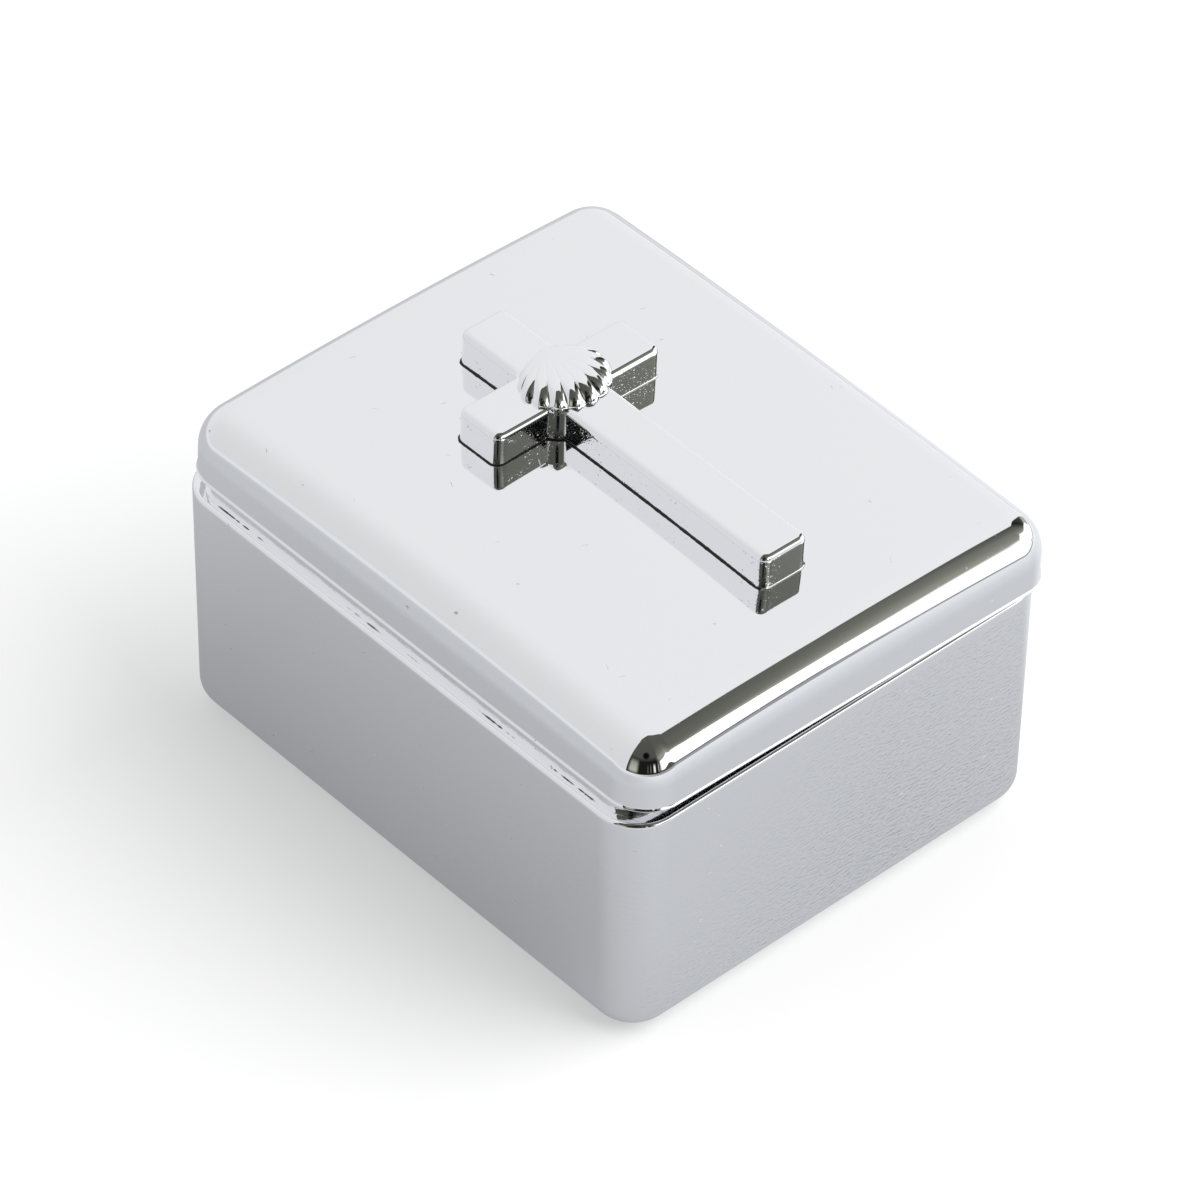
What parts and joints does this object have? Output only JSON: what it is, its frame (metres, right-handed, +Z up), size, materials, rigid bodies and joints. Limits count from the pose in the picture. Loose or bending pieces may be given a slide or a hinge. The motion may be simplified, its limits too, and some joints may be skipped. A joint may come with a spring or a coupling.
{
  "type": "keepsake box",
  "caption": "Small oblong plated metal keepsake box with a crowned hinged lid, resting just ajar, and a raised cross with a scallop shell at its crossing.",
  "frame": {"origin": "middle of the felt underside that the box stands on", "axes": "+X across the box towards the hinge side, +Y along the box towards the head of the cross, +Z up"},
  "size_m": [0.0588, 0.0674, 0.0441],
  "materials": {
    "silver_plate": "polished silver plate over a zinc casting",
    "pin_steel": "drawn steel wire",
    "velvet": "short pile velvet",
    "felt": "pressed felt"
  },
  "bodies": {
    "base": {"box_body": "silver_plate", "body_hinge_leaf": "silver_plate", "hinge_pin": "pin_steel", "wall_lining": "velvet", "floor_pad": "velvet", "base_felt": "felt"},
    "lid": {"lid": "silver_plate", "cross": "silver_plate", "scallop_shell": "silver_plate", "lid_hinge_leaf": "silver_plate", "lid_pad": "velvet"}
  },
  "joints": [
    {"name": "lid_hinge", "type": "hinge", "parent": "base", "child": "lid", "pos_m": [0.02977, 0, 0.029], "axis": [0, 1, 0], "range_deg": [0, 105]}
  ]
}
